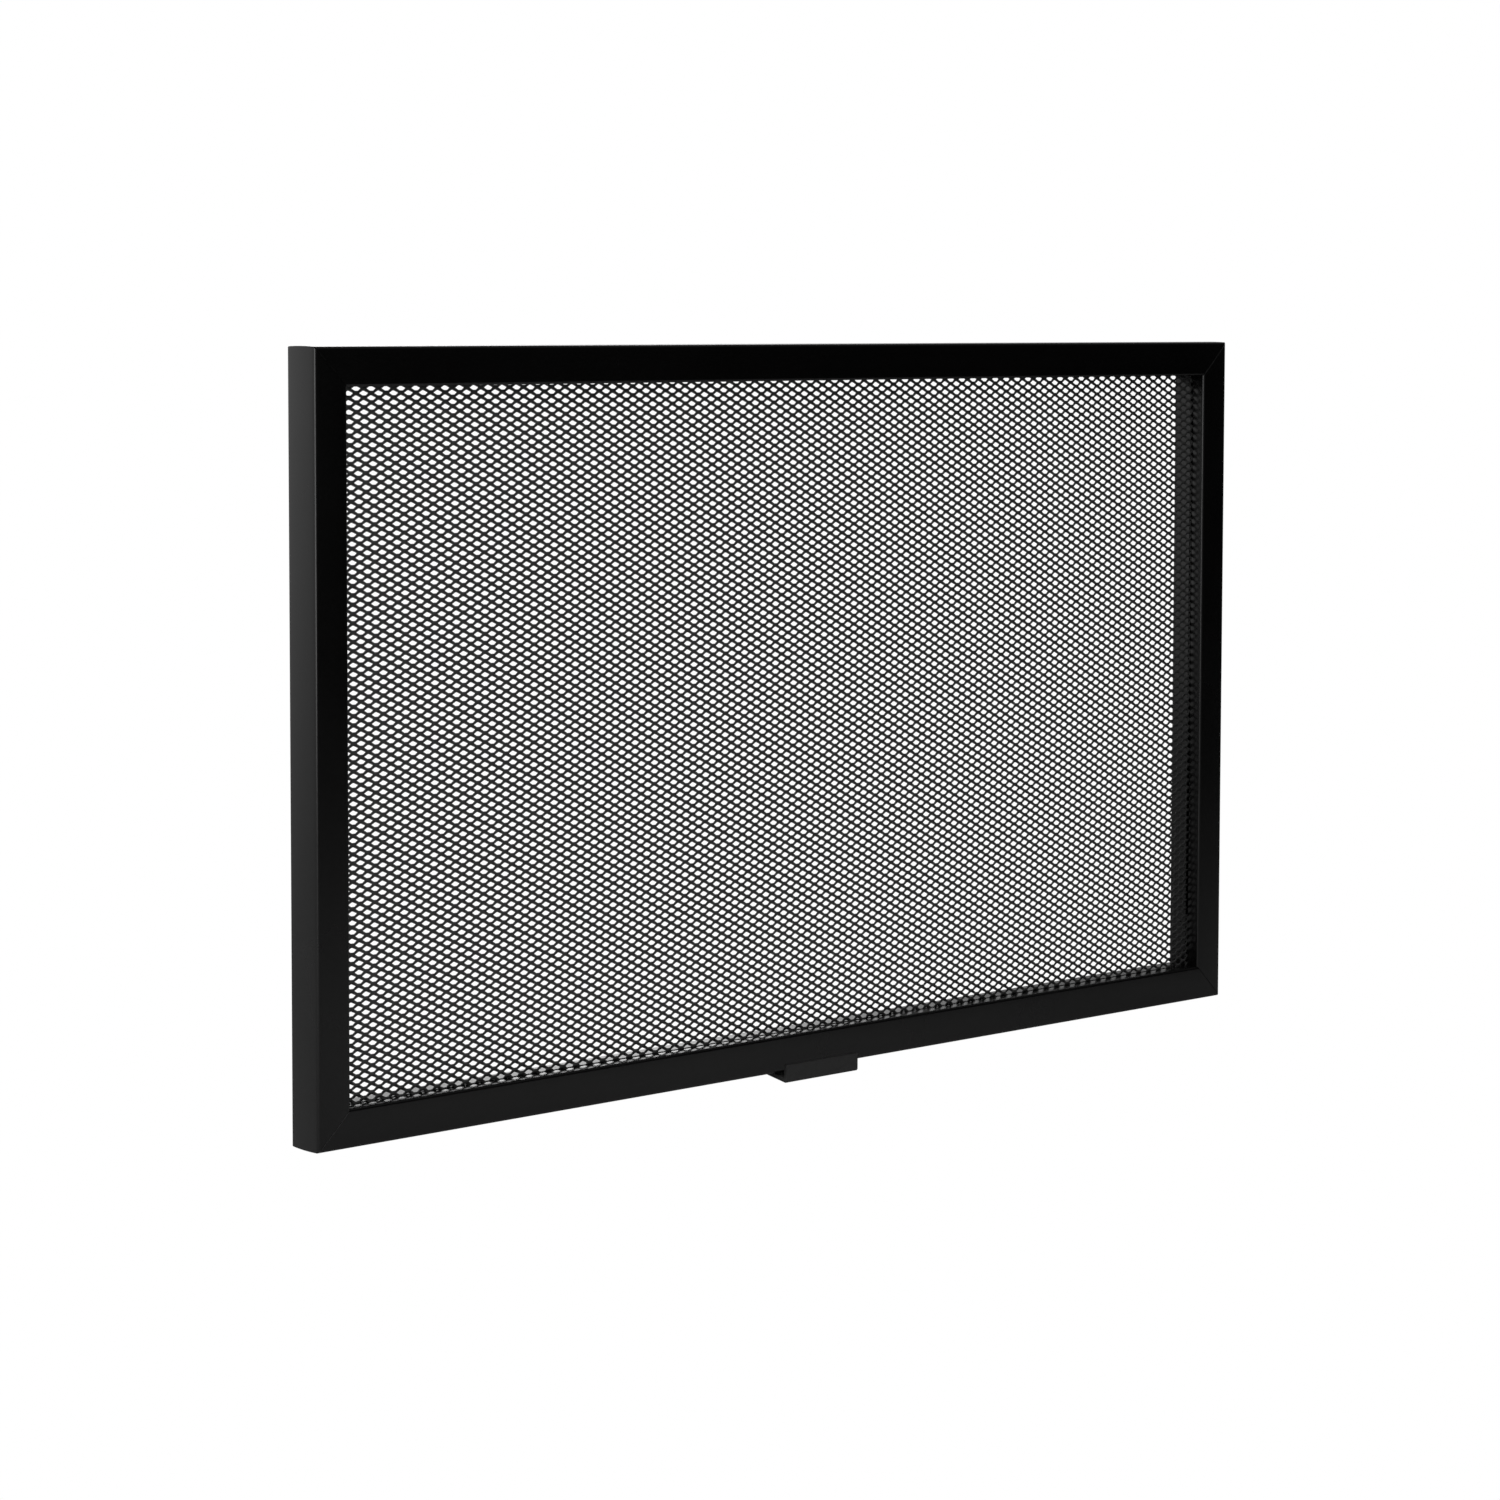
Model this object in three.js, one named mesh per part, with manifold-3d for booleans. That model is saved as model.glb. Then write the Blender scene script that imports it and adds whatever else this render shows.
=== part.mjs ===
// A fireplace screen: a mitred frame of slotted rectangular steel tube round one sheet of expanded metal,
// with a small bent pull tab riveted under the middle of the bottom rail.
// Millimetres. X runs to the right, Y from the front to the back, and Z up.
// The origin is the centre of the bottom rail's rear face, where the screen leans on the firebox.

import * as THREE from 'three';
import { mergeVertices } from 'three/addons/utils/BufferGeometryUtils.js';
import Module from 'manifold-3d';

const wasm = await Module();
wasm.setup();

// Frame
const WIDTH = 715;
const HEIGHT = 430;
const DEPTH = 25.4;
const FACE = 21.4;
const WALL = 1.5;
const EDGE_RADIUS = 1.75;
const ARC_STEPS = 5;
// The clearance that neighbouring pieces keep
const GAP = 0.3;

// Mesh sheet and the slot in the rails' inner walls that holds its edges.
// The plain sheet has the mass of the open mesh, and the slot has the width of its raised strands.
const MESH_BEHIND_FRONT = 10.2;
const SHEET_THICKNESS = 0.5;
const SLOT_WIDTH = 2.2;
const SHEET_IN_RAIL = 4;

// Keys inside the corners
const KEY_ARM = 50;
const KEY_WIDTH = 12;

// Pull tab
const TAB_WIDTH = 57;
const TAB_THICKNESS = 2.5;
const TAB_FLAT = 11;
const TAB_INSET = 0.4;
const TAB_REACH = 5.6;
const TAB_DROP = 5.6;
const LIP_HEIGHT = 10.8;
const BEND_RADIUS = 0.8;

// Rivets
const RIVET_SPACING = 34;
const RIVET_RADIUS = 2;
const RIVET_HEAD_RADIUS = 3.6;
const RIVET_HEAD_HEIGHT = 1.3;
const RIVET_FROM_REAR = 6.5;
const RIVET_SIDES = 24;
// How far a rivet hole is cut above and below the underside of the bottom rail
const HOLE_REACH = 5;

const blackSteel = { color: 0x131313, roughness: 0.4, metalness: 0.2 };
const blackMesh = { color: 0x161616, roughness: 0.5, metalness: 0.2 };
const zinc = { color: 0x9a9c9e, roughness: 0.5, metalness: 0.9 };

// Everything is drawn from the frame's front lower edge, and this group moves it to the origin.
const screen = new THREE.Group();
screen.position.set(0, -DEPTH, -FACE / 2);

function addPiece(name, geometry, finish, parent = screen) {
  const piece = new THREE.Mesh(geometry, new THREE.MeshStandardMaterial(finish));
  piece.name = name;
  parent.add(piece);
  return piece;
}

function toSolid(geometry) {
  const bare = geometry.clone();
  bare.deleteAttribute('normal');
  bare.deleteAttribute('uv');
  const merged = mergeVertices(bare, 1e-4);
  return new wasm.Manifold(new wasm.Mesh({
    numProp: 3,
    vertProperties: new Float32Array(merged.attributes.position.array),
    triVerts: new Uint32Array(merged.index.array),
  }));
}

function toGeometry(solid) {
  const mesh = solid.getMesh();
  const geometry = new THREE.BufferGeometry();
  geometry.setAttribute('position', new THREE.BufferAttribute(mesh.vertProperties, 3));
  geometry.setIndex(new THREE.BufferAttribute(mesh.triVerts, 1));
  geometry.computeVertexNormals();
  return geometry;
}

// The rail's section: x from the frame's outer edge towards the opening, y from the front to the back.
// The inner wall has a slot along its whole length, so the outline runs round the tube and back inside it.
function railSection() {
  const slotFront = MESH_BEHIND_FRONT - SLOT_WIDTH / 2;
  const slotBack = MESH_BEHIND_FRONT + SLOT_WIDTH / 2;
  const near = EDGE_RADIUS;
  const far = FACE - EDGE_RADIUS;
  const back = DEPTH - EDGE_RADIUS;
  const section = new THREE.Shape();
  section.moveTo(FACE, slotBack);
  section.absarc(far, back, EDGE_RADIUS, 0, Math.PI / 2);
  section.absarc(near, back, EDGE_RADIUS, Math.PI / 2, Math.PI);
  section.absarc(near, near, EDGE_RADIUS, Math.PI, 1.5 * Math.PI);
  section.absarc(far, near, EDGE_RADIUS, 1.5 * Math.PI, 2 * Math.PI);
  section.lineTo(FACE, slotFront);
  section.lineTo(FACE - WALL, slotFront);
  section.lineTo(FACE - WALL, WALL);
  section.lineTo(WALL, WALL);
  section.lineTo(WALL, DEPTH - WALL);
  section.lineTo(FACE - WALL, DEPTH - WALL);
  section.lineTo(FACE - WALL, slotBack);
  section.closePath();
  return section;
}

// A rail of the given outer length along z, with both ends cut to 45 degrees.
function mitredRail(length) {
  const settings = { depth: length, bevelEnabled: false, curveSegments: ARC_STEPS };
  const rail = new THREE.ExtrudeGeometry(railSection(), settings);
  const points = rail.attributes.position;
  const clearance = (GAP / 2) * Math.SQRT2;
  for (let i = 0; i < points.count; i += 1) {
    const cut = points.getX(i) + clearance;
    points.setZ(i, points.getZ(i) > length / 2 ? length - cut : cut);
  }
  rail.computeVertexNormals();
  return rail;
}

function rivetHole(fromCentre) {
  const radius = RIVET_RADIUS + GAP;
  const hole = new THREE.CylinderGeometry(radius, radius, 2 * HOLE_REACH, RIVET_SIDES);
  hole.rotateX(Math.PI / 2);
  hole.translate(fromCentre, DEPTH - RIVET_FROM_REAR, 0);
  return hole;
}

// The bottom rail lies with its outer wall down: its section's x is the screen's z,
// and its length runs from the right end to the left one.
function drilledBottomRail() {
  let rail = toSolid(mitredRail(WIDTH));
  for (const side of [-1, 1]) {
    const hole = rivetHole(side * (RIVET_SPACING / 2));
    hole.rotateY(Math.PI / 2);
    hole.translate(0, 0, WIDTH / 2);
    rail = rail.subtract(toSolid(hole));
  }
  return toGeometry(rail);
}

// An L of solid bar that fills the outer half of the tube on both sides of a mitre.
function cornerKey() {
  const start = WALL + GAP;
  const inner = start + KEY_WIDTH;
  const end = start + KEY_ARM;
  const outline = new THREE.Shape();
  outline.moveTo(start, start);
  outline.lineTo(end, start);
  outline.lineTo(end, inner);
  outline.lineTo(inner, inner);
  outline.lineTo(inner, end);
  outline.lineTo(start, end);
  outline.closePath();
  const depth = DEPTH - 2 * (WALL + GAP);
  const key = new THREE.ExtrudeGeometry(outline, { depth, bevelEnabled: false });
  key.rotateX(Math.PI / 2);
  key.translate(0, WALL + GAP + depth, 0);
  return key;
}

// Each corner starts the rail that leaves it clockwise as seen from the front.
const corners = [
  { rail: 'left_rail', key: 'corner_key_bottom_left', x: -WIDTH / 2, z: 0, length: HEIGHT },
  { rail: 'top_rail', key: 'corner_key_top_left', x: -WIDTH / 2, z: HEIGHT, length: WIDTH },
  { rail: 'right_rail', key: 'corner_key_top_right', x: WIDTH / 2, z: HEIGHT, length: HEIGHT },
  { rail: 'bottom_rail', key: 'corner_key_bottom_right', x: WIDTH / 2, z: 0, length: WIDTH },
];
corners.forEach((corner, quarterTurns) => {
  const place = new THREE.Group();
  place.position.set(corner.x, 0, corner.z);
  place.rotation.y = quarterTurns * (Math.PI / 2);
  screen.add(place);
  const shape = corner.rail === 'bottom_rail' ? drilledBottomRail() : mitredRail(corner.length);
  addPiece(corner.rail, shape, blackSteel, place);
  addPiece(corner.key, cornerKey(), zinc, place);
});

const sheet = new THREE.BoxGeometry(
  WIDTH - 2 * (FACE - SHEET_IN_RAIL),
  SHEET_THICKNESS,
  HEIGHT - 2 * (FACE - SHEET_IN_RAIL),
);
addPiece('mesh_panel', sheet, blackMesh).position.set(0, MESH_BEHIND_FRONT, HEIGHT / 2);

// The tab's section, x from the frame's front face to the back, y up. It lies flat under the rail at
// the back, slopes down and forwards past the front face, and turns up into the lip.
function tabSection() {
  const top = -GAP;
  const under = top - TAB_THICKNESS;
  const rear = DEPTH - TAB_INSET;
  const bend = rear - TAB_FLAT;
  const front = -TAB_REACH;
  const behindLip = front + TAB_THICKNESS;
  const slope = (TAB_DROP + under) / (bend - front);
  const rise = (x) => (x - bend) * slope;
  const outline = new THREE.Shape();
  outline.moveTo(rear, top);
  outline.lineTo(bend, top);
  outline.lineTo(behindLip + BEND_RADIUS, top + rise(behindLip + BEND_RADIUS));
  outline.lineTo(behindLip, top + rise(behindLip) + BEND_RADIUS);
  outline.lineTo(behindLip, LIP_HEIGHT - TAB_DROP);
  outline.lineTo(front, LIP_HEIGHT - TAB_DROP);
  outline.lineTo(front, BEND_RADIUS - TAB_DROP);
  outline.quadraticCurveTo(front, -TAB_DROP, front + BEND_RADIUS, under + rise(front + BEND_RADIUS));
  outline.lineTo(bend, under);
  outline.lineTo(rear, under);
  outline.closePath();
  return outline;
}

function pullTab() {
  const settings = { depth: TAB_WIDTH, bevelEnabled: false, curveSegments: ARC_STEPS };
  const plate = new THREE.ExtrudeGeometry(tabSection(), settings);
  plate.translate(0, 0, -TAB_WIDTH / 2);
  // Turns the section's x to the screen's y, and its y to z.
  plate.rotateX(Math.PI / 2);
  plate.rotateZ(Math.PI / 2);
  let tab = toSolid(plate);
  for (const side of [-1, 1]) {
    const hole = rivetHole(side * (RIVET_SPACING / 2));
    tab = tab.subtract(toSolid(hole));
  }
  return toGeometry(tab);
}
addPiece('pull_tab', pullTab(), blackSteel);

// A rivet from its domed head under the tab, through the tab and the rail's outer wall,
// to its set end inside the tube.
function rivet() {
  const headTop = -GAP - TAB_THICKNESS - GAP;
  const setBottom = WALL + GAP;
  const dome = new THREE.Path();
  dome.absellipse(0, headTop, RIVET_HEAD_RADIUS, RIVET_HEAD_HEIGHT, 1.5 * Math.PI, 2 * Math.PI);
  const tail = new THREE.Path();
  tail.absellipse(0, setBottom, RIVET_HEAD_RADIUS, RIVET_HEAD_HEIGHT, 0, Math.PI / 2);
  const profile = [
    ...dome.getPoints(ARC_STEPS),
    new THREE.Vector2(RIVET_RADIUS, headTop),
    new THREE.Vector2(RIVET_RADIUS, setBottom),
    ...tail.getPoints(ARC_STEPS),
  ];
  profile[0].x = 0;
  profile[profile.length - 1].x = 0;
  const turned = new THREE.LatheGeometry(profile, RIVET_SIDES);
  turned.rotateX(Math.PI / 2);
  return turned;
}
for (const [name, side] of [['tab_rivet_left', -1], ['tab_rivet_right', 1]]) {
  addPiece(name, rivet(), blackSteel).position.set(side * (RIVET_SPACING / 2), DEPTH - RIVET_FROM_REAR, 0);
}

export default screen;
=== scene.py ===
"""A black fireplace screen: four mitred rails of satin black tube round a sheet of expanded metal,
with a riveted pull tab under the bottom rail. Metres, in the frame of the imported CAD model."""

import math

import bpy
import numpy as np
from mathutils import Matrix, Vector


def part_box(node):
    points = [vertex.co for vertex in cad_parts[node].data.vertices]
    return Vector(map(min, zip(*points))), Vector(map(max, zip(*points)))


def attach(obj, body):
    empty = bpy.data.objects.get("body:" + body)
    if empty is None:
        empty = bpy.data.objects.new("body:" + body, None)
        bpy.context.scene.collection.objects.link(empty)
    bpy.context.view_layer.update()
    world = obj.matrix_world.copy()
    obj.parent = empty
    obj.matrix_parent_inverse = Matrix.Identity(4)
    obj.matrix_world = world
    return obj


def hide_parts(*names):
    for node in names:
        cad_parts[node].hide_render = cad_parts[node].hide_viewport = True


MM = 0.001

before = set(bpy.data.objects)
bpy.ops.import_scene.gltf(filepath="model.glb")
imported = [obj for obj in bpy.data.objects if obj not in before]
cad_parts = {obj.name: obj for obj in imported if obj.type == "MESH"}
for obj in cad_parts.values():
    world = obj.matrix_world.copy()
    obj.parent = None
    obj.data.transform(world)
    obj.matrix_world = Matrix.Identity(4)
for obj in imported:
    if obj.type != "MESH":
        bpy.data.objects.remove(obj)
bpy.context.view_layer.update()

# ---------------------------------------------------------------- where the CAD model's pieces are

left_low, left_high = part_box("left_rail")
_, right_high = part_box("right_rail")
_, top_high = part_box("top_rail")
bottom_low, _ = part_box("bottom_rail")
sheet_low, sheet_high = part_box("mesh_panel")
tab_low, tab_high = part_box("pull_tab")
rivet_low, rivet_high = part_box("tab_rivet_right")

LEFT = left_low.x
RIGHT = right_high.x
BOTTOM = bottom_low.z
TOP = top_high.z
FRONT = left_low.y
BACK = left_high.y
WIDTH = RIGHT - LEFT
HEIGHT = TOP - BOTTOM
DEPTH = BACK - FRONT
FACE = left_high.x - left_low.x
MESH_Y = (sheet_low.y + sheet_high.y) / 2
FLOOR_Z = tab_low.z

# Rails
WALL = 1.5 * MM
EDGE_RADIUS = 1.75 * MM
EDGE_STEPS = 8
FLAT_STEPS = 8
# How far the middles of the front, rear and outer walls stand out from their edges
CROWN = 0.25 * MM
SLOT_WIDTH = 2.2 * MM
SLOT_LIP = 0.2 * MM
MITRE_GAP = 0.03 * MM
MITRE_CHAMFER = 0.25 * MM

# Expanded metal
STRAND_WIDTH = 1.23 * MM
# The share by which the strands narrow from the middle of the sheet to its right end, and widen to its left
STRAND_NARROWING = 0.09
STRAND_THICKNESS = 0.28 * MM
STRAND_TILT = math.radians(20)
# Half of a bond's length at its lower edge, at its middle and at its upper edge
BOND_FOOT = 0.35 * MM
BOND_MIDDLE = 1.97 * MM
BOND_HEAD = 1.05 * MM
# The nearest that a bond's centre comes to the edge of the sheet
SHEET_MARGIN = 1.05 * MM

# Pull tab
TAB_THICKNESS = 2.5 * MM
TAB_FLAT = 11 * MM
# The clearance between the rail and the tab, and between a rivet's ends and what they hold
TAB_CLEARANCE = 0.3 * MM
LIP_HEIGHT = 10.8 * MM
INSIDE_BEND = 0.8 * MM
OUTSIDE_BEND = 1.6 * MM
BEND_STEPS = 5
TAB_EDGE_WIDTH = 0.25 * MM
TAB_EDGE_STEPS = 3
TAB_EDGE_ANGLE = math.radians(40)

# Rivets
RIVET_RADIUS = 2 * MM
RIVET_HOLE_RADIUS = 2.3 * MM
RIVET_HOLE_SIDES = 32
RIVET_SIDES = 48
MANDREL_RADIUS = 1.1 * MM
MANDREL_DEPTH = 0.5 * MM
# Degrees round a rivet's domes: where the head's starts beside the mandrel's pit, and each dome's steps
HEAD_START = -72
HEAD_STEP = 8
SET_STEP = 12


# ---------------------------------------------------------------- mesh helpers

def add_mesh(name, points, faces, material, sharp_degrees=30):
    """A new mesh in the scene, shaded smooth except at the edges that turn by more than sharp_degrees."""
    data = bpy.data.meshes.new(name)
    data.from_pydata([tuple(p) for p in points], [], faces)
    data.validate()
    data.materials.append(material)
    piece = bpy.data.objects.new(name, data)
    bpy.context.scene.collection.objects.link(piece)
    data.shade_smooth()
    if sharp_degrees < 180:
        data.set_sharp_from_angle(angle=math.radians(sharp_degrees))
    return piece


def stand_for(piece, node):
    """Lets a piece take the place of a CAD node."""
    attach(piece, "root")
    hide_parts(node)


def arc(centre_x, centre_y, radius, start_degrees, end_degrees, steps):
    """Points on a circle from one angle to another, both ends included."""
    sweep = end_degrees - start_degrees
    angles = [math.radians(start_degrees + sweep * k / steps) for k in range(steps + 1)]
    return [(centre_x + radius * math.cos(a), centre_y + radius * math.sin(a)) for a in angles]


def crowned(start, end, rise, steps):
    """Points strictly between two corners of a flat, raised a little to its right-hand side."""
    along = (end[0] - start[0], end[1] - start[1])
    length = math.hypot(*along)
    outward = (along[1] / length, -along[0] / length)
    points = []
    for k in range(1, steps):
        t = k / steps
        lift = rise * 4 * t * (1 - t)
        x = start[0] + along[0] * t + outward[0] * lift
        y = start[1] + along[1] * t + outward[1] * lift
        points.append((x, y))
    return points


def inset(outline, distance):
    """The closed outline moved to its left-hand side, which is inside for one that runs anticlockwise."""
    moved = []
    for k, here in enumerate(outline):
        before = outline[k - 1]
        after = outline[(k + 1) % len(outline)]
        incoming = Vector((here[0] - before[0], here[1] - before[1])).normalized()
        outgoing = Vector((after[0] - here[0], after[1] - here[1])).normalized()
        normal = Vector((-incoming.y - outgoing.y, incoming.x + outgoing.x)).normalized()
        across = Vector((-incoming.y, incoming.x)).dot(normal)
        moved.append((here[0] + normal.x * distance / across, here[1] + normal.y * distance / across))
    return moved


def loft(rings):
    """The faces of a closed body through rings of as many points each, and a flat cap at both ends."""
    count = len(rings[0])
    points = [p for ring in rings for p in ring]
    faces = []
    for k in range(len(rings) - 1):
        for i in range(count):
            j = (i + 1) % count
            faces.append((k * count + i, k * count + j, (k + 1) * count + j, (k + 1) * count + i))
    faces.append(tuple(range(count - 1, -1, -1)))
    faces.append(tuple(range((len(rings) - 1) * count, len(rings) * count)))
    return points, faces


def turned(profile, centre_x, centre_y, sides):
    """The closed body of a profile of (radius, z) points turned round a vertical axis. Its ends lie on it."""
    turns = [2 * math.pi * k / sides for k in range(sides)]
    points = [(centre_x, centre_y, profile[0][1])]
    for radius, z in profile[1:-1]:
        points += [(centre_x + radius * math.cos(a), centre_y + radius * math.sin(a), z) for a in turns]
    points.append((centre_x, centre_y, profile[-1][1]))
    rows = len(profile) - 2
    last_row = 1 + (rows - 1) * sides
    last_point = len(points) - 1
    faces = []
    for side in range(sides):
        beside = (side + 1) % sides
        faces.append((0, 1 + beside, 1 + side))
        for row in range(rows - 1):
            low = 1 + row * sides
            high = low + sides
            faces.append((low + side, low + beside, high + beside, high + side))
        faces.append((last_row + side, last_row + beside, last_point))
    return points, faces


def apply_modifiers(piece):
    """Replaces the piece's mesh with what its modifiers make of it."""
    graph = bpy.context.evaluated_depsgraph_get()
    final = bpy.data.meshes.new_from_object(piece.evaluated_get(graph))
    piece.modifiers.clear()
    piece.data = final


def drill(piece, x, y, z, reach):
    """Cuts a rivet's hole through the piece, reaching as far above its centre as below it."""
    circle = arc(x, y, RIVET_HOLE_RADIUS, 0, 360, RIVET_HOLE_SIDES)[:-1]
    rings = [[(*place, z + height) for place in circle] for height in (-reach, reach)]
    cutter = add_mesh("cutter", *loft(rings), piece.data.materials[0])
    cut = piece.modifiers.new("hole", "BOOLEAN")
    cut.operation = "DIFFERENCE"
    cut.solver = "EXACT"
    cut.object = cutter
    apply_modifiers(piece)
    bpy.data.objects.remove(cutter)


def soften_edges(piece, width):
    """Rounds the piece's sharp edges."""
    bevel = piece.modifiers.new("edges", "BEVEL")
    bevel.width = width
    bevel.segments = TAB_EDGE_STEPS
    bevel.limit_method = "ANGLE"
    bevel.angle_limit = TAB_EDGE_ANGLE
    bevel.harden_normals = True
    apply_modifiers(piece)


# ---------------------------------------------------------------- materials

# Powder coat: the sizes of its patches of gloss, its flecks and its broad waves, and how much deeper
# the waves are than the fine orange peel on them
CLOUD_SIZE = 60 * MM
FLECK_SIZE = 1.5 * MM
WAVE_SIZE = 9 * MM
WAVE_OVER_PEEL = 6
PAINT_IOR = 1.5
# The noise values that gloss and flecks vary between. Values outside them count as the nearer end.
GLOSS_RANGE = (0.3, 0.7)
FLECK_RANGE = (0.35, 0.75)

# Die-cast metal: its mottle and grain, and its colour and roughness from the dark spots to the light ones
MOTTLE_SIZE = 2 * MM
GRAIN_SIZE = 0.6 * MM
GRAIN_DEPTH = 0.03 * MM
ALLOY_DARK = (0.42, 0.43, 0.44)
ALLOY_LIGHT = (0.66, 0.66, 0.67)
ALLOY_ROUGHNESS = (0.55, 0.38)


class Nodes:
    """Short names for building one material's nodes."""

    def __init__(self, name):
        self.material = bpy.data.materials.new(name)
        self.material.use_nodes = True
        self.tree = self.material.node_tree
        self.shader = self.tree.nodes["Principled BSDF"]
        self.place = self.add("ShaderNodeTexCoord").outputs["Object"]

    def add(self, kind, **settings):
        node = self.tree.nodes.new(kind)
        for key, value in settings.items():
            setattr(node, key, value)
        return node

    def link(self, output, target):
        self.tree.links.new(output, target)

    def noise(self, size, detail=2.0, roughness=0.5):
        """Noise whose lumps are about size metres across."""
        node = self.add("ShaderNodeTexNoise")
        node.inputs["Scale"].default_value = 1 / size
        node.inputs["Detail"].default_value = detail
        node.inputs["Roughness"].default_value = roughness
        self.link(self.place, node.inputs["Vector"])
        return node.outputs["Fac"]

    def spread(self, value, low, high, to_low, to_high):
        """Maps a value's range from low to high onto another one."""
        node = self.add("ShaderNodeMapRange")
        node.inputs["From Min"].default_value = low
        node.inputs["From Max"].default_value = high
        node.inputs["To Min"].default_value = to_low
        node.inputs["To Max"].default_value = to_high
        self.link(value, node.inputs["Value"])
        return node.outputs["Result"]

    def blend(self, amount, dark, light):
        """Mixes two colours: dark where the amount is 0, and light where it is 1."""
        node = self.add("ShaderNodeMix", data_type="RGBA")
        node.inputs["A"].default_value = (*dark, 1)
        node.inputs["B"].default_value = (*light, 1)
        self.link(amount, node.inputs["Factor"])
        return node.outputs["Result"]

    def bump(self, height, depth, under=None):
        """Raises the surface by up to depth metres, over an earlier bump if there is one."""
        node = self.add("ShaderNodeBump")
        node.inputs["Strength"].default_value = 1
        node.inputs["Distance"].default_value = depth
        self.link(height, node.inputs["Height"])
        if under is not None:
            self.link(under, node.inputs["Normal"])
        return node.outputs["Normal"]


def powder_coat(name, tones, roughness, peel_size, peel_depth):
    """Satin black powder coat: orange peel over broad low waves, cloudy gloss, and flecks of two tones."""
    n = Nodes(name)
    cloud = n.noise(CLOUD_SIZE, detail=3)
    fleck = n.noise(FLECK_SIZE, detail=4, roughness=0.6)
    dark, light = [(tone,) * 3 for tone in tones]
    colour = n.blend(n.spread(fleck, *FLECK_RANGE, 0, 1), dark, light)
    n.link(colour, n.shader.inputs["Base Color"])
    n.link(n.spread(cloud, *GLOSS_RANGE, *roughness), n.shader.inputs["Roughness"])
    n.shader.inputs["IOR"].default_value = PAINT_IOR
    wave = n.bump(n.noise(WAVE_SIZE, detail=1), WAVE_OVER_PEEL * peel_depth)
    n.link(n.bump(n.noise(peel_size), peel_depth, wave), n.shader.inputs["Normal"])
    return n.material


def cast_alloy(name):
    """Grey die-cast metal with a mottled skin."""
    n = Nodes(name)
    mottle = n.noise(MOTTLE_SIZE, detail=5, roughness=0.6)
    n.link(n.blend(mottle, ALLOY_DARK, ALLOY_LIGHT), n.shader.inputs["Base Color"])
    n.link(n.spread(mottle, *GLOSS_RANGE, *ALLOY_ROUGHNESS), n.shader.inputs["Roughness"])
    n.shader.inputs["Metallic"].default_value = 1
    n.link(n.bump(n.noise(GRAIN_SIZE, detail=3), GRAIN_DEPTH), n.shader.inputs["Normal"])
    return n.material


FRAME_PAINT = powder_coat("frame_paint", (0.0005, 0.002), (0.22, 0.28), 0.9 * MM, 0.0012 * MM)
# The mesh has the same black paint as the frame. Its two tones are much lighter than the frame's, as painted
# light that stands in for the light the strands' many slopes and edges catch.
MESH_PAINT_WITH_PAINTED_LIGHT = powder_coat("mesh_paint", (0.024, 0.042), (0.4, 0.5), 0.7 * MM, 0.003 * MM)
TAB_PAINT = powder_coat("tab_paint", (0.014, 0.022), (0.34, 0.44), 0.9 * MM, 0.004 * MM)
RIVET_PAINT = powder_coat("rivet_paint", (0.004, 0.009), (0.25, 0.35), 0.6 * MM, 0.002 * MM)
KEY_ALLOY = cast_alloy("key_alloy")


# ---------------------------------------------------------------- rails

def rail_outline():
    """The tube's section: x from the frame's outer edge to the opening, y from front to back.
    It runs anticlockwise round the outside, from the slot's back edge to its front one, and back inside."""
    slot = MESH_Y - FRONT
    slot_front = slot - SLOT_WIDTH / 2
    slot_back = slot + SLOT_WIDTH / 2
    near = EDGE_RADIUS
    far_x = FACE - EDGE_RADIUS
    far_y = DEPTH - EDGE_RADIUS
    outline = [(FACE - SLOT_LIP, slot_back), (FACE, slot_back + SLOT_LIP)]
    outline += crowned((FACE, slot_back + SLOT_LIP), (FACE, far_y), 0, FLAT_STEPS)
    outline += arc(far_x, far_y, EDGE_RADIUS, 0, 90, EDGE_STEPS)
    outline += crowned((far_x, DEPTH), (near, DEPTH), CROWN, FLAT_STEPS)
    outline += arc(near, far_y, EDGE_RADIUS, 90, 180, EDGE_STEPS)
    outline += crowned((0, far_y), (0, near), CROWN, FLAT_STEPS)
    outline += arc(near, near, EDGE_RADIUS, 180, 270, EDGE_STEPS)
    outline += crowned((near, 0), (far_x, 0), CROWN, FLAT_STEPS)
    outline += arc(far_x, near, EDGE_RADIUS, 270, 360, EDGE_STEPS)
    outline += [(FACE, slot_front - SLOT_LIP), (FACE - SLOT_LIP, slot_front)]
    inside_x = FACE - WALL
    inside_y = DEPTH - WALL
    outline += [(inside_x, slot_front), (inside_x, WALL), (WALL, WALL)]
    outline += [(WALL, inside_y), (inside_x, inside_y), (inside_x, slot_back)]
    return outline


def rail(name, corner, inward, along, length):
    """A rail that starts at a corner of the frame and runs along one of its sides, mitred at both ends."""
    outline = rail_outline()
    slim = inset(outline, MITRE_CHAMFER)
    corner, inward, along = Vector(corner), Vector(inward), Vector(along)
    backward = Vector((0, 1, 0))
    # Each end is cut at 45 degrees, and the cut has a narrow chamfer all round it.
    stations = [
        (slim, MITRE_GAP, False),
        (outline, MITRE_GAP + MITRE_CHAMFER, False),
        (outline, MITRE_GAP + MITRE_CHAMFER, True),
        (slim, MITRE_GAP, True),
    ]
    rings = []
    for section, cut, far_end in stations:
        ring = []
        for x, y in section:
            place = length - x - cut if far_end else x + cut
            ring.append(corner + inward * x + backward * y + along * place)
        rings.append(ring)
    tube = add_mesh(name + "_tube", *loft(rings), FRAME_PAINT)
    stand_for(tube, name)
    return tube


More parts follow.
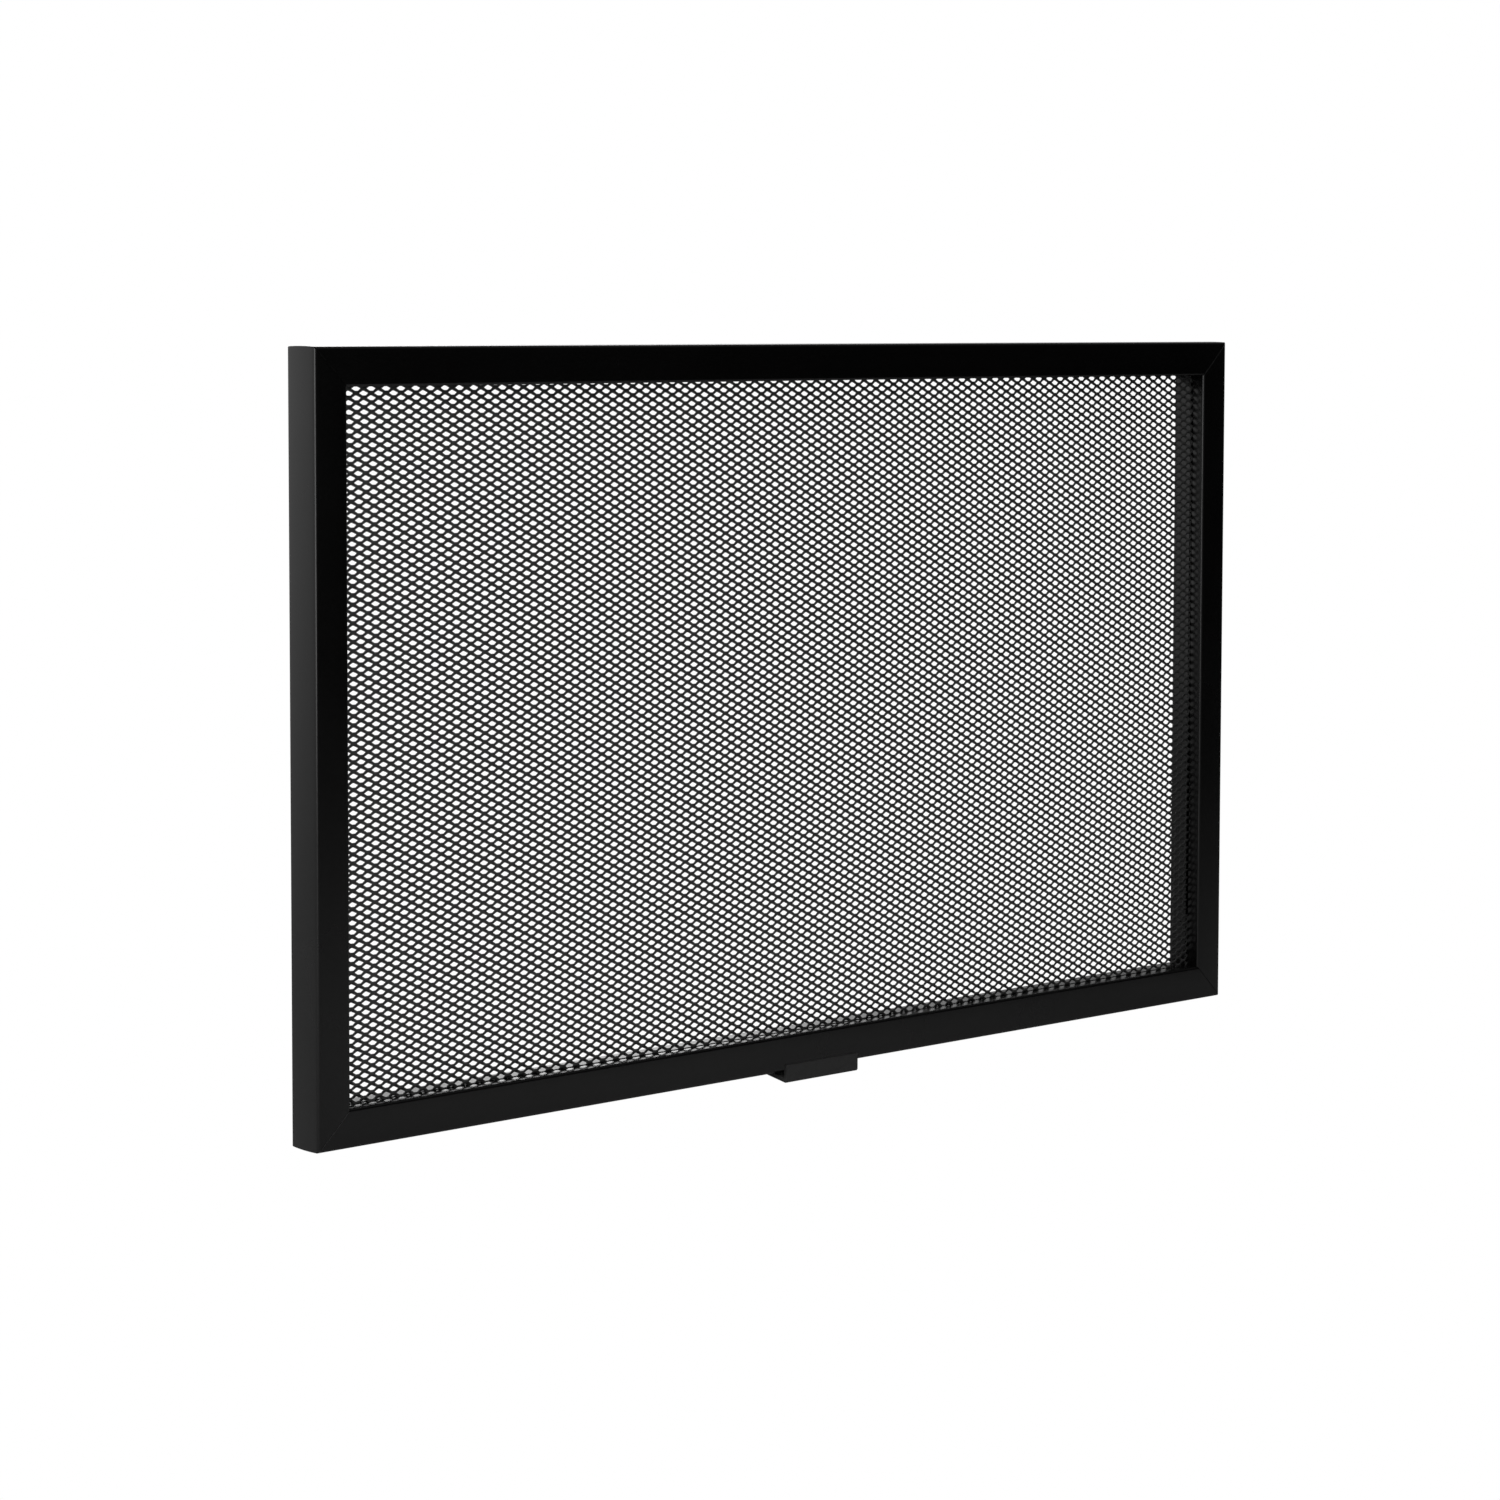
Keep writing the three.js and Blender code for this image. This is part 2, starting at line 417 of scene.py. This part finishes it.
RIGHTWARD = (1, 0, 0)
LEFTWARD = (-1, 0, 0)
UPWARD = (0, 0, 1)
DOWNWARD = (0, 0, -1)
rail("left_rail", (LEFT, FRONT, BOTTOM), RIGHTWARD, UPWARD, HEIGHT)
rail("top_rail", (LEFT, FRONT, TOP), DOWNWARD, RIGHTWARD, WIDTH)
rail("right_rail", (RIGHT, FRONT, TOP), LEFTWARD, DOWNWARD, HEIGHT)
bottom_tube = rail("bottom_rail", (RIGHT, FRONT, BOTTOM), UPWARD, LEFTWARD, WIDTH)


# ---------------------------------------------------------------- expanded metal

# The openings stand in a staggered lattice of half-widths and half-heights, counted from the one nearest
# the middle. The sheet was stretched a little unevenly, so its rows fall slightly and its columns bow.
HALF_COLUMN = 4.82 * MM
HALF_ROW = 2.495 * MM
LATTICE_X = -10.33 * MM
LATTICE_Z = 189.15 * MM
# About half of the sheet's columns and rows, which scale the terms of the stretch, and how many more
# of each are tried, because the lattice's middle is to the left of the sheet's and below it
HALF_COLUMNS = 70
HALF_ROWS = 77
SPARE_STEPS = 10
COLUMN_LEAN = 2.35 * MM
COLUMN_TWIST = 0.6 * MM
COLUMN_HOOK = -0.52 * MM
COLUMN_BOW = -3.1 * MM
COLUMN_SPREAD = -3.1 * MM
ROW_FALL = -2.1 * MM
ROW_SAG = 0.35 * MM
ROW_FAN = 0.45 * MM
ROW_SPREAD = 1.35 * MM


def lattice_point(column, row):
    """Where a lattice site lies on the sheet."""
    across = column / HALF_COLUMNS
    upward = row / HALF_ROWS
    x = LATTICE_X + column * HALF_COLUMN + COLUMN_SPREAD * across ** 2 + COLUMN_TWIST * across * upward
    x += COLUMN_LEAN * upward + COLUMN_BOW * upward ** 2 + COLUMN_HOOK * upward ** 3
    z = LATTICE_Z + row * HALF_ROW + ROW_FALL * across + ROW_SPREAD * upward ** 2
    z += ROW_SAG * across ** 2 * (1 + across) + ROW_FAN * across * upward
    return x, z


def inside_sheet(x, z):
    """Whether a bond at this place is far enough from the sheet's edges to be kept."""
    inside_x = sheet_low.x + SHEET_MARGIN < x < sheet_high.x - SHEET_MARGIN
    inside_z = sheet_low.z + SHEET_MARGIN < z < sheet_high.z - SHEET_MARGIN
    return inside_x and inside_z


def bond_sites():
    """The lattice sites between the openings that lie on the sheet."""
    columns = HALF_COLUMNS + SPARE_STEPS
    rows = HALF_ROWS + SPARE_STEPS
    for row in range(-rows, rows + 1):
        for column in range(-columns, columns + 1):
            between_openings = (row + column) % 2 == 1
            if between_openings and inside_sheet(*lattice_point(column, row)):
                yield column, row


def expanded_metal():
    """The points of every bond, and the index of each bond's first one. A bond is a small tilted plate, and
    four strands leave its corners to the bonds diagonally next to it. Its upper half is wider than its
    lower one, so openings are pointed at the top."""
    tilt_up = np.array([0, -math.sin(STRAND_TILT), math.cos(STRAND_TILT)])
    front_face = np.array([0, -math.cos(STRAND_TILT), -math.sin(STRAND_TILT)])
    levels = [(-STRAND_WIDTH, BOND_FOOT), (0, BOND_MIDDLE), (STRAND_WIDTH, BOND_HEAD)]
    bonds = {}
    points = []
    for column, row in bond_sites():
        bonds[(column, row)] = len(points)
        x, z = lattice_point(column, row)
        middle = np.array([x, MESH_Y, z])
        scale = 1 - STRAND_NARROWING * column / HALF_COLUMNS
        for height, half_length in levels:
            for side in (-1, 1):
                for face in (1, -1):
                    offset = tilt_up * height * scale + front_face * (face * STRAND_THICKNESS / 2)
                    points.append(middle + offset + np.array([side * half_length, 0, 0]))
    return bonds, points


def bond_corner(base, level, side, back):
    """The index of one of a bond's twelve points: level 0 to 2 from its foot up, side 0 left or 1 right,
    and back 0 for its front face or 1 for its back."""
    return base + level * 4 + side * 2 + back


def expanded_faces(bonds):
    """The faces of every bond and strand. They share the bonds' points, which makes one closed surface."""
    faces = []

    def end_corners(base, side, level):
        """The corners of a bar at one side of a bond, by their step up from a level, then front or back."""
        return [[bond_corner(base, level + step, side, back) for back in (0, 1)] for step in (0, 1)]

    def front_and_back(a, b):
        faces.append((a[0][0], b[0][0], b[1][0], a[1][0]))
        faces.append((a[1][1], b[1][1], b[0][1], a[0][1]))

    def under_and_top(a, b):
        faces.append((a[0][1], b[0][1], b[0][0], a[0][0]))
        faces.append((a[1][0], b[1][0], b[1][1], a[1][1]))

    def cut_end(base, side, level):
        """Closes a corner of a bond that no strand leaves."""
        ring = [bond_corner(base, level, side, 0), bond_corner(base, level, side, 1)]
        ring += [bond_corner(base, level + 1, side, 1), bond_corner(base, level + 1, side, 0)]
        faces.append(tuple(ring if side else ring[::-1]))

    for (column, row), base in bonds.items():
        for level in (0, 1):
            front_and_back(end_corners(base, 0, level), end_corners(base, 1, level))
        foot = [bond_corner(base, 0, side, back) for side, back in ((0, 1), (1, 1), (1, 0), (0, 0))]
        head = [bond_corner(base, 2, side, back) for side, back in ((0, 0), (1, 0), (1, 1), (0, 1))]
        faces += [tuple(foot), tuple(head)]
        for level, step in ((1, 1), (0, -1)):
            right_bond = bonds.get((column + 1, row + step))
            if right_bond is None:
                cut_end(base, 1, level)
            else:
                ends = (end_corners(base, 1, level), end_corners(right_bond, 0, 1 - level))
                front_and_back(*ends)
                under_and_top(*ends)
            if (column - 1, row + step) not in bonds:
                cut_end(base, 0, level)
    return faces


def mesh_panels():
    """The sheet, split at its middle row to keep each half's file within the export's limit on triangles."""
    bonds, points = expanded_metal()
    faces = expanded_faces(bonds)
    points = np.array(points)
    heights = points[:, 2]
    lower = [f for f in faces if heights[list(f)].mean() < LATTICE_Z]
    upper = [f for f in faces if heights[list(f)].mean() >= LATTICE_Z]
    for name, part in (("mesh_lower", lower), ("mesh_upper", upper)):
        used = np.unique(np.array(part))
        renumber = np.zeros(len(points), int)
        renumber[used] = np.arange(len(used))
        part_faces = renumber[np.array(part)].tolist()
        piece = add_mesh(name, points[used].tolist(), part_faces, MESH_PAINT_WITH_PAINTED_LIGHT, sharp_degrees=180)
        stand_for(piece, "mesh_panel")


mesh_panels()


# ---------------------------------------------------------------- pull tab and rivets

# The right rivet's place. The left one mirrors it.
RIVET_X = (rivet_low.x + rivet_high.x) / 2
RIVET_Y = (rivet_low.y + rivet_high.y) / 2


def tab_outline():
    """The bent plate's section, x from the frame's front face to the back, y up from the rail's underside."""
    drop = BOTTOM - FLOOR_Z
    top = -TAB_CLEARANCE
    under = top - TAB_THICKNESS
    rear = tab_high.y - FRONT
    bend = rear - TAB_FLAT
    front = tab_low.y - FRONT
    behind_lip = front + TAB_THICKNESS
    slope = (drop + under) / (bend - front)
    lean = math.degrees(math.atan(slope))

    def plate_top(x):
        return top + (x - bend) * slope

    def plate_under(x):
        return under + (x - bend) * slope

    inner_x = behind_lip + INSIDE_BEND
    inner_y = plate_top(behind_lip) + INSIDE_BEND
    outer_x = front + OUTSIDE_BEND
    outer_y = plate_under(front) + OUTSIDE_BEND
    outline = [(rear, top), (bend, top)]
    outline += arc(inner_x, inner_y, INSIDE_BEND, 270 + lean, 180, BEND_STEPS)
    outline += [(behind_lip, LIP_HEIGHT - drop), (front, LIP_HEIGHT - drop)]
    outline += arc(outer_x, outer_y, OUTSIDE_BEND, 180, 270 + lean, BEND_STEPS)
    outline += [(bend, under), (rear, under)]
    return outline


def pull_tab():
    """The bent plate, drilled for both rivets, with its edges softened."""
    outline = tab_outline()
    ends = (tab_high.x, tab_low.x)
    rings = [[(x, FRONT + depth, BOTTOM + height) for depth, height in outline] for x in ends]
    tab = add_mesh("pull_tab_plate", *loft(rings), TAB_PAINT)
    for x in (-RIVET_X, RIVET_X):
        drill(tab, x, RIVET_Y, BOTTOM, 2 * TAB_THICKNESS)
    soften_edges(tab, TAB_EDGE_WIDTH)
    # The rail's gloss would otherwise hold a sharp dark image of the lip, which a powder coat blurs away.
    tab.visible_glossy = False
    stand_for(tab, "pull_tab")


def rivet(name, x):
    """A blind rivet: its domed head with the mandrel's pit is below, and its set end inside the tube."""
    head_radius = (rivet_high.x - rivet_low.x) / 2
    head_top = BOTTOM - 2 * TAB_CLEARANCE - TAB_THICKNESS
    head_height = head_top - rivet_low.z
    set_bottom = BOTTOM + WALL + TAB_CLEARANCE
    set_height = rivet_high.z - set_bottom
    profile = [(0, rivet_low.z + MANDREL_DEPTH), (MANDREL_RADIUS, rivet_low.z + MANDREL_DEPTH)]
    for degrees in range(HEAD_START, 1, HEAD_STEP):
        angle = math.radians(degrees)
        profile.append((head_radius * math.cos(angle), head_top + head_height * math.sin(angle)))
    profile += [(RIVET_RADIUS, head_top), (RIVET_RADIUS, set_bottom)]
    for degrees in range(0, 90, SET_STEP):
        angle = math.radians(degrees)
        profile.append((head_radius * math.cos(angle), set_bottom + set_height * math.sin(angle)))
    profile.append((0, rivet_high.z))
    body = add_mesh(name + "_body", *turned(profile, x, RIVET_Y, RIVET_SIDES), RIVET_PAINT)
    stand_for(body, name)


pull_tab()
for rivet_name, rivet_x in (("tab_rivet_left", -RIVET_X), ("tab_rivet_right", RIVET_X)):
    drill(bottom_tube, rivet_x, RIVET_Y, BOTTOM, 4 * WALL)
    rivet(rivet_name, rivet_x)

# The corner keys stay the CAD model's own solids.
for corner_name in ("top_left", "top_right", "bottom_left", "bottom_right"):
    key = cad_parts["corner_key_" + corner_name]
    key.data.materials.clear()
    key.data.materials.append(KEY_ALLOY)


# ---------------------------------------------------------------- camera

CAMERA_PLACE = (-1.46383, -1.64819, 0.4367)
CAMERA_YAW = math.radians(40.996)
CAMERA_PITCH = math.radians(3.810)
CAMERA_ROLL = math.radians(0.134)
# The lens and the sensor in the camera's own millimetres, and the shift as a share of the sensor
CAMERA_LENS = 88.93
CAMERA_SENSOR = 36
CAMERA_SHIFT = -0.1259
NEAREST_SEEN = 0.05


def add_camera():
    """A camera that looks along +Y, turned by its yaw to the right, its pitch down, and its roll."""
    data = bpy.data.cameras.new("camera")
    data.sensor_width = CAMERA_SENSOR
    data.lens = CAMERA_LENS
    data.shift_y = CAMERA_SHIFT
    data.clip_start = NEAREST_SEEN
    camera = bpy.data.objects.new("camera", data)
    ahead = Vector((math.sin(CAMERA_YAW) * math.cos(CAMERA_PITCH),
                    math.cos(CAMERA_YAW) * math.cos(CAMERA_PITCH),
                    -math.sin(CAMERA_PITCH)))
    level = Vector((math.cos(CAMERA_YAW), -math.sin(CAMERA_YAW), 0))
    upright = level.cross(ahead)
    side = level * math.cos(CAMERA_ROLL) + upright * math.sin(CAMERA_ROLL)
    above = upright * math.cos(CAMERA_ROLL) - level * math.sin(CAMERA_ROLL)
    turn = Matrix((side, above, -ahead)).transposed().to_4x4()
    camera.matrix_world = Matrix.Translation(CAMERA_PLACE) @ turn
    bpy.context.scene.collection.objects.link(camera)
    bpy.context.scene.camera = camera


add_camera()


# ---------------------------------------------------------------- floor and light

FLOOR_RADIUS = 2.4
FLOOR_RINGS = 24
FLOOR_SIDES = 64
FLOOR_FADE_START = 0.1
FLOOR_FADE_POWER = 2
FLOOR_ALBEDO = 0.5
FLOOR_GRAIN_SIZE = 0.15
# The share of the albedo that the floor's grain takes off it or adds to it
FLOOR_GRAIN_SHARE = 0.03
# Each lobe of light: the direction that it comes from, its strength there, and how narrow it is
SIDE_GLOW = ((-1.0, 0.0, 0.0), 1.0, 3.0)
CORNER_GLOW = ((-0.35, 0.94, 0.0), 0.55, 50.0)
BACK_GLOW = ((0.485, 0.840, 0.242), 4.5, 120.0)
RIGHT_GLOW = ((0.95, 0.31, 0.0), 0.5, 20.0)
SKY_GLOW = ((0.0, 0.0, 1.0), 0.45, 10.0)
# The glow fades to nothing between the horizon and this height of a direction below it
DIM_BELOW = -0.28
# The soft boxes: where each one is, the point that it is turned towards, its size, and its power in watts
HIGH_BOX = ((-0.75, -0.9, 1.4), (-0.35, -0.1, 0.0), (0.8, 0.8), 10.0)
SIDE_BOX = ((-0.95, -0.75, 0.35), (-0.1, -0.05, 0.2), (0.5, 0.5), 2.2)


def add_floor():
    """A round pale floor that fades out into the pale surroundings."""
    points = [(0, 0, FLOOR_Z)]
    for ring in range(1, FLOOR_RINGS + 1):
        radius = FLOOR_RADIUS * ring / FLOOR_RINGS
        points += [(x, y, FLOOR_Z) for x, y in arc(0, 0, radius, 0, 360, FLOOR_SIDES)[:-1]]
    faces = [(0, 1 + k, 1 + (k + 1) % FLOOR_SIDES) for k in range(FLOOR_SIDES)]
    for ring in range(FLOOR_RINGS - 1):
        inner = 1 + ring * FLOOR_SIDES
        outer = inner + FLOOR_SIDES
        for k in range(FLOOR_SIDES):
            beside = (k + 1) % FLOOR_SIDES
            faces.append((inner + k, outer + k, outer + beside, inner + beside))
    floor = add_mesh("floor", points, faces, floor_material())


def floor_material():
    """White to look at. It lights the screen as pale paper does, and fades to clear with the distance."""
    n = Nodes("floor_pale")
    n.tree.nodes.remove(n.shader)
    output = n.tree.nodes["Material Output"]
    grain = n.noise(FLOOR_GRAIN_SIZE, detail=4)
    dark, light = [(FLOOR_ALBEDO * share,) * 3 for share in (1 - FLOOR_GRAIN_SHARE, 1 + FLOOR_GRAIN_SHARE)]
    paper = n.add("ShaderNodeBsdfDiffuse")
    n.link(n.blend(grain, dark, light), paper.inputs["Color"])
    white = n.add("ShaderNodeEmission")
    clear = n.add("ShaderNodeBsdfTransparent")
    distance = n.add("ShaderNodeVectorMath", operation="LENGTH")
    n.link(n.place, distance.inputs[0])
    kept = n.spread(distance.outputs["Value"], FLOOR_FADE_START, FLOOR_RADIUS, 1, 0)
    solidity = n.add("ShaderNodeMath", operation="POWER")
    n.link(kept, solidity.inputs[0])
    solidity.inputs[1].default_value = FLOOR_FADE_POWER
    faded = n.add("ShaderNodeMixShader")
    n.link(solidity.outputs["Value"], faded.inputs[0])
    n.link(clear.outputs[0], faded.inputs[1])
    n.link(paper.outputs[0], faded.inputs[2])
    seen = n.add("ShaderNodeMixShader")
    n.link(n.add("ShaderNodeLightPath").outputs["Is Camera Ray"], seen.inputs[0])
    n.link(faded.outputs[0], seen.inputs[1])
    n.link(white.outputs[0], seen.inputs[2])
    n.link(seen.outputs[0], output.inputs["Surface"])
    return n.material


def add_surroundings():
    """White to look at. Their light comes from a few lobes and leaves the front right dark."""
    world = bpy.data.worlds.new("studio")
    world.use_nodes = True
    bpy.context.scene.world = world
    nodes, links = world.node_tree.nodes, world.node_tree.links
    direction = nodes.new("ShaderNodeTexCoord").outputs["Generated"]

    def maths(operation, first, second):
        """What a sum makes of a node's output and either a number or another output."""
        node = nodes.new("ShaderNodeMath")
        node.operation = operation
        links.new(first, node.inputs[0])
        if isinstance(second, float):
            node.inputs[1].default_value = second
        else:
            links.new(second, node.inputs[1])
        return node.outputs["Value"]

    def lobe(towards, strength, power):
        """The strength where a direction is the lobe's own, falling to nothing in the opposite one."""
        facing = nodes.new("ShaderNodeVectorMath")
        facing.operation = "DOT_PRODUCT"
        facing.inputs[1].default_value = towards
        links.new(direction, facing.inputs[0])
        share = nodes.new("ShaderNodeMapRange")
        share.inputs["From Min"].default_value = -1
        links.new(facing.outputs["Value"], share.inputs["Value"])
        return maths("MULTIPLY", maths("POWER", share.outputs["Result"], power), strength)

    glow = lobe(*SIDE_GLOW)
    for another in (CORNER_GLOW, BACK_GLOW, RIGHT_GLOW, SKY_GLOW):
        glow = maths("ADD", glow, lobe(*another))
    height = nodes.new("ShaderNodeSeparateXYZ")
    links.new(direction, height.inputs[0])
    above = nodes.new("ShaderNodeMapRange")
    above.inputs["From Min"].default_value = DIM_BELOW
    above.inputs["From Max"].default_value = 0
    links.new(height.outputs["Z"], above.inputs["Value"])
    glow = maths("MULTIPLY", glow, above.outputs["Result"])
    light = nodes["Background"]
    light.inputs["Color"].default_value = (1, 1, 1, 1)
    links.new(glow, light.inputs["Strength"])
    white = nodes.new("ShaderNodeBackground")
    white.inputs["Color"].default_value = (1, 1, 1, 1)
    mix = nodes.new("ShaderNodeMixShader")
    links.new(nodes.new("ShaderNodeLightPath").outputs["Is Camera Ray"], mix.inputs[0])
    links.new(light.outputs[0], mix.inputs[1])
    links.new(white.outputs[0], mix.inputs[2])
    links.new(mix.outputs[0], nodes["World Output"].inputs["Surface"])


def add_box_light(name, place, aim, size, power):
    """A soft rectangular light at a place, turned towards another."""
    data = bpy.data.lights.new(name, "AREA")
    data.shape = "RECTANGLE"
    data.size, data.size_y = size
    data.energy = power
    light = bpy.data.objects.new(name, data)
    place = Vector(place)
    towards = Vector(aim) - place
    turn = towards.to_track_quat("-Z", "Y").to_matrix().to_4x4()
    light.matrix_world = Matrix.Translation(place) @ turn
    bpy.context.scene.collection.objects.link(light)


add_floor()
add_surroundings()
add_box_light("soft_box", *HIGH_BOX)
add_box_light("side_box", *SIDE_BOX)
bpy.context.scene.view_settings.view_transform = "Standard"
